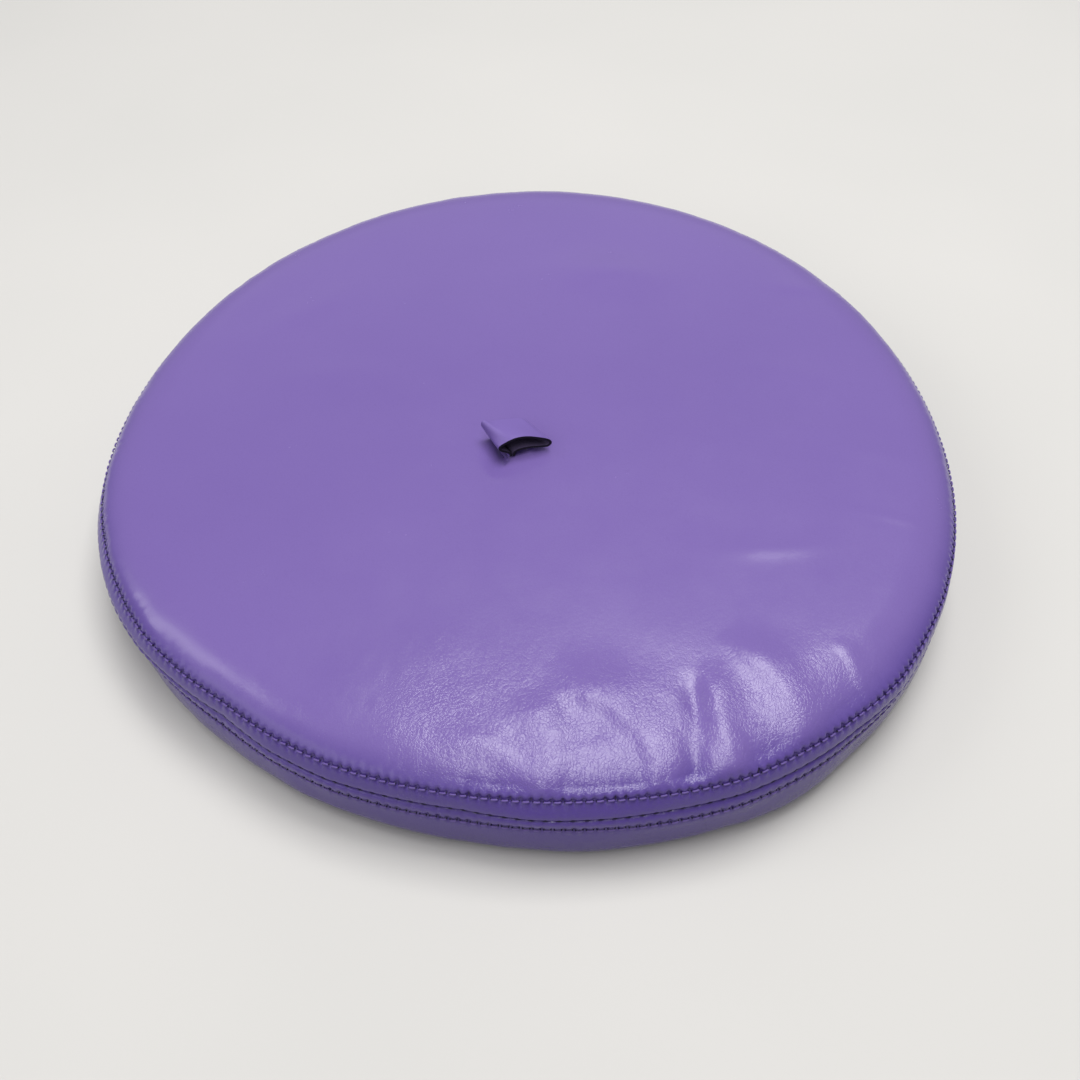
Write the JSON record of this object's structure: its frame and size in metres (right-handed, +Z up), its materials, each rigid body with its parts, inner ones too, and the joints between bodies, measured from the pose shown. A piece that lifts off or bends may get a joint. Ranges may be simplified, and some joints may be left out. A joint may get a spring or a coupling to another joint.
{
  "type": "leather beret",
  "caption": "Round flat leather beret with a stitched rim seam, a ring of leather below, a sweatband at the head opening and a small folded stem loop on top.",
  "frame": {"origin": "centre of the beret's box, on the surface it lies on", "axes": "+Z up through the crown, -Y the side with the visible rim seam in front, +X to that side's right"},
  "size_m": [0.2728, 0.2866, 0.0404],
  "materials": {
    "leather": "smooth semi-gloss nappa",
    "interlining": "matte felted",
    "lining": "satin weave",
    "sweatband": "matte",
    "thread": "satin"
  },
  "bodies": {
    "crown": {"crown_top_panel": "leather", "crown_under_panel": "leather", "top_interlining": "interlining", "under_interlining": "interlining", "top_lining": "lining", "under_lining": "lining", "sweatband": "sweatband", "topstitch_upper_thread": "thread", "topstitch_lower_thread": "thread", "rim_seam_thread": "thread", "lining_seam_thread": "thread", "sweatband_thread": "thread", "stem_tails": "leather", "stem_backing_patch": "interlining", "stem_thread": "thread"},
    "stem": {"stem_loop": "leather"}
  },
  "joints": [
    {"name": "stem_tilt", "type": "hinge", "parent": "crown", "child": "stem", "pos_m": [-0.0082, -0.01802, 0.034], "axis": [0.5803, -0.8144, 0], "range_deg": [-7, 40], "stiffness_Nm_per_rad": 0.002}
  ]
}
